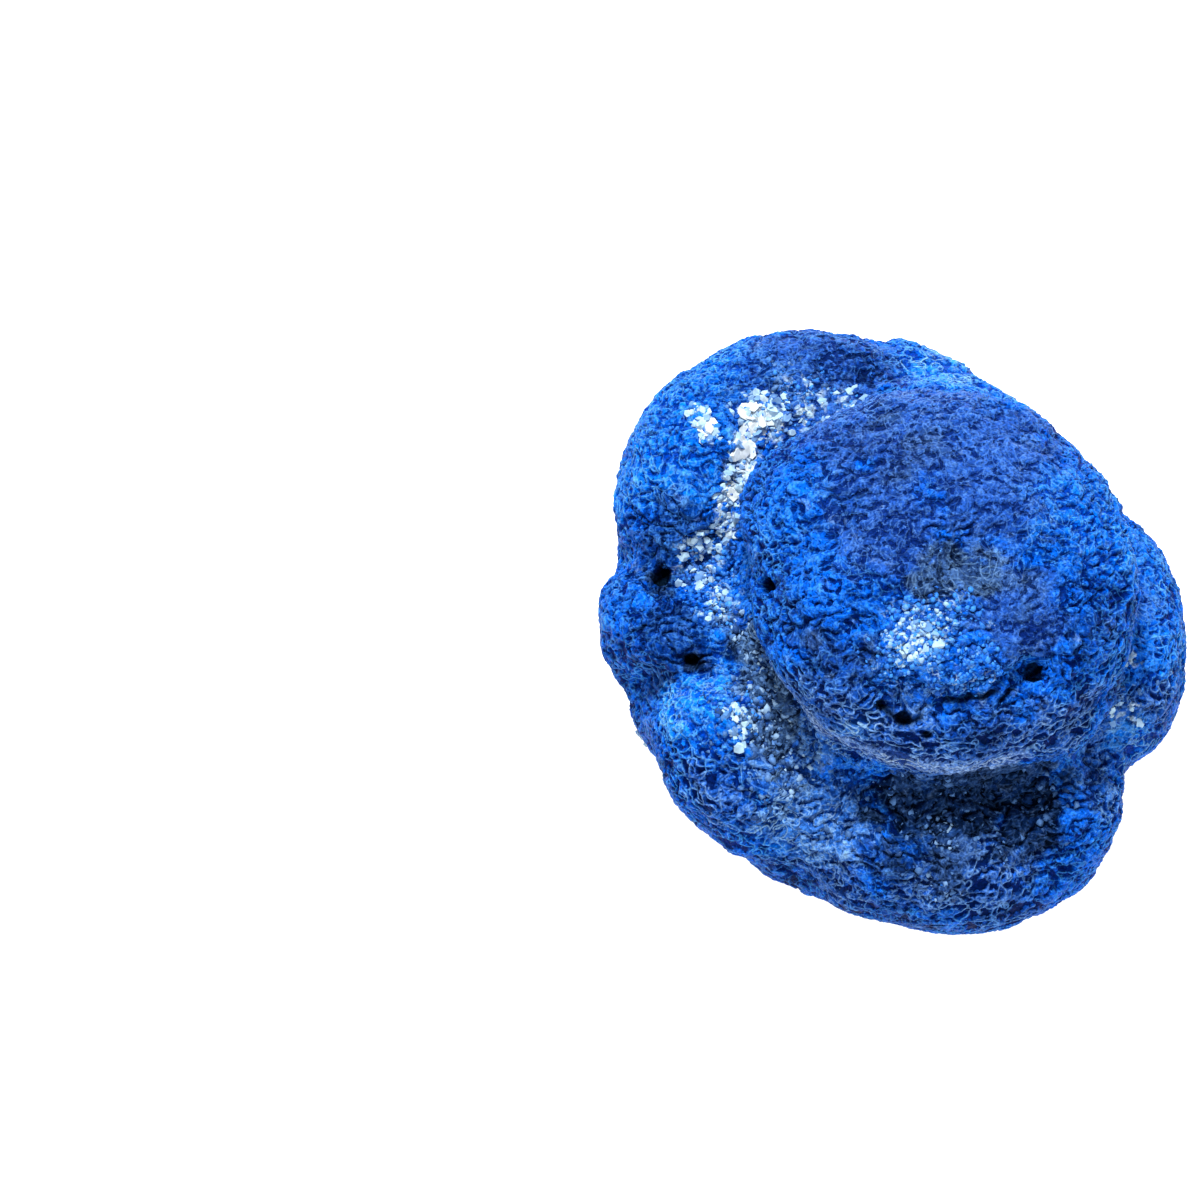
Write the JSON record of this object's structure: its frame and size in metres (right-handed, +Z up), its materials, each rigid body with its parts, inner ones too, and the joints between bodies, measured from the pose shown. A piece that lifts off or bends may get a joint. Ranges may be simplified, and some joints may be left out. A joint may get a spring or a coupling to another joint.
{
  "type": "azurite nodule",
  "caption": "Rounded lobed mineral nodule with an overhanging knob, pitted all over with fine crystal grains.",
  "frame": {"origin": "centre of the bounding box's bottom face, on the surface that the nodule rests on", "axes": "+Z up, along the nodule's thinnest extent, towards the knob; +X across; -Y is the side that the knob overhangs"},
  "size_m": [0.0492, 0.0514, 0.0324],
  "materials": {
    "azurite": "rough, finely crystalline, azure blue"
  },
  "bodies": {
    "root": {"azurite_nodule": "azurite"}
  },
  "joints": []
}
